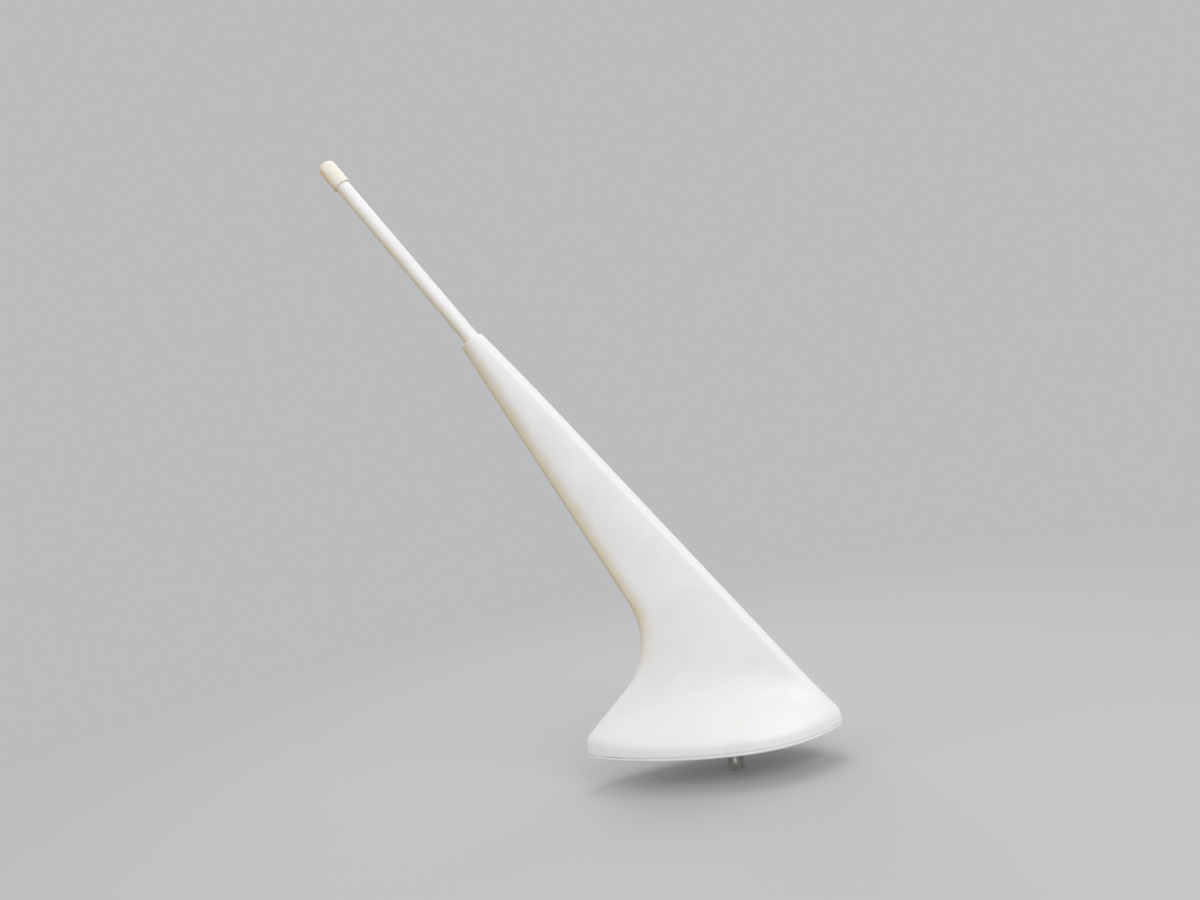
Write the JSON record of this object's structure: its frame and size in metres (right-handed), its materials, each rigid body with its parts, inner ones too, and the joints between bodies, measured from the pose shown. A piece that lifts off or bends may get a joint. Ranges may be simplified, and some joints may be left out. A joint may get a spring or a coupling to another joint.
{
  "type": "aircraft communication antenna",
  "caption": "Swept blade-and-whip VHF antenna for an aircraft's skin: a hollow white fairing on a flanged teardrop base, a capped rod leaning aft and a bayonet coaxial jack below.",
  "frame": {"origin": "On the mounting plane, which is the underside of the base plate, at the axis of the coaxial connector and the centre of the four fixing holes.", "axes": "+X is forward, towards the rounded front of the base; +Y is to the left; +Z stands out of the skin, up along the blade. The mating side faces -Z."},
  "size_m": [0.2561, 0.067, 0.4122],
  "materials": {
    "white_paint": "gloss white paint over a glass-fibre moulding",
    "cap_plastic": "satin cream moulding, yellowed with age",
    "bare_aluminium": "machined, conversion coated, edge painted",
    "stainless": "plain stainless",
    "nickel": "satin nickel plate on brass",
    "brass": "plain brass",
    "copper": "tinned or bare copper",
    "foam": "rigid closed-cell foam",
    "board": "glass-epoxy board",
    "insulator": "white fluoropolymer",
    "gasket": "conductive rubber",
    "sealant": "grey sealant",
    "capacitor": "moulded block"
  },
  "bodies": {
    "root": {"fairing": "white_paint", "base_plate": "bare_aluminium", "seam_sealant": "sealant", "thread_inserts": "stainless", "whip_tube": "white_paint", "whip_conductor": "brass", "tip_cap": "cap_plastic", "cap_sealant": "sealant", "whip_socket": "brass", "blade_radiator": "brass", "socket_rivets": "brass", "foam_core": "foam", "matching_board": "board", "board_posts": "stainless", "board_screws": "stainless", "connector_shell": "nickel", "connector_insulator": "insulator", "connector_contact": "brass", "connector_gasket": "gasket", "earth_tag": "nickel", "connector_screws": "stainless", "series_coil": "copper", "shunt_coil": "copper", "matching_capacitors": "capacitor", "feed_strap": "copper", "strap_rivet": "brass"}
  },
  "joints": []
}
